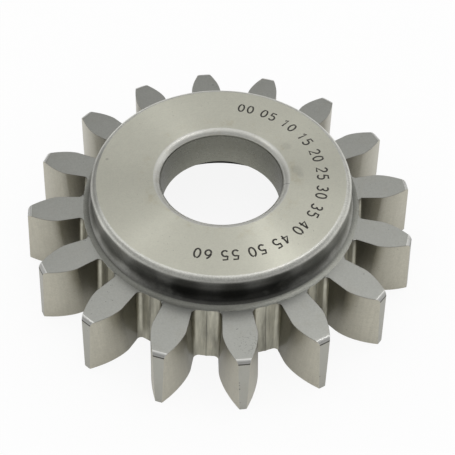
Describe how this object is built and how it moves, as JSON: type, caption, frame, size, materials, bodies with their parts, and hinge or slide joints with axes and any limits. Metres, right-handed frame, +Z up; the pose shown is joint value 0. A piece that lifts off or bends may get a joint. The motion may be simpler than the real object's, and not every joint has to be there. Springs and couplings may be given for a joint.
{
  "type": "cup gear shaper cutter",
  "caption": "Disc cutter for gear shaping, with tapered involute teeth, a polished raised hub, a ground locating bore and a cupped underside for its clamping nut.",
  "frame": {"origin": "on the bore's axis, in the plane of the lowest cutting tips", "axes": "+Z up along the bore's axis towards the flat hub top; one tooth points along -Y, to the front"},
  "size_m": [0.149, 0.149, 0.0378],
  "materials": {
    "shaper_cutter": "ground teeth and faces, polished hub wall"
  },
  "bodies": {
    "root": {"shaper_cutter": "shaper_cutter"}
  },
  "joints": []
}
